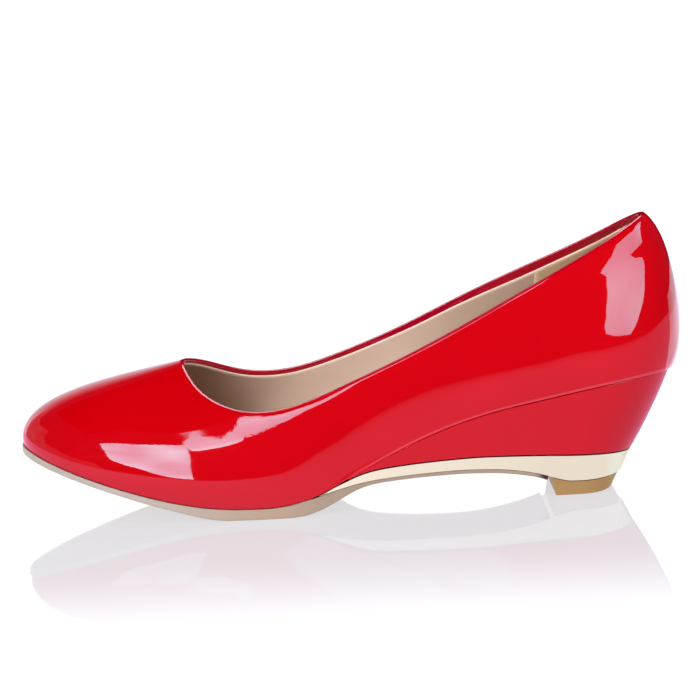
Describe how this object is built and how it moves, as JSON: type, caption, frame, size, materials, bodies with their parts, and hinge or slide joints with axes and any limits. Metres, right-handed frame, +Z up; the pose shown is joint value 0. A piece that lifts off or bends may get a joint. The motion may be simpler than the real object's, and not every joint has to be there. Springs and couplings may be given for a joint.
{
  "type": "wedge pump",
  "caption": "Round-toe slip-on pump with a hollow glossy upper, a covered wedge heel edged underneath by a polished metal band, a thin outsole and a small heel lift.",
  "frame": {"origin": "middle of the whole shoe's length and width, on the floor it stands on", "axes": "+Z up, +X from the toe towards the heel, the outer side of this left shoe faces -Y"},
  "size_m": [0.2462, 0.0788, 0.1012],
  "materials": {
    "upper_patent": "glossy red patent",
    "wedge_patent": "glossy red patent over a moulded wedge",
    "insole_lining": "soft matte beige lining and sock",
    "outsole": "smooth matte beige",
    "metal_band": "polished pale gold",
    "top_lift": "matte tan"
  },
  "bodies": {
    "root": {"upper": "upper_patent", "insole": "insole_lining", "outsole": "outsole", "wedge": "wedge_patent", "heel_band": "metal_band", "top_lift": "top_lift"}
  },
  "joints": []
}
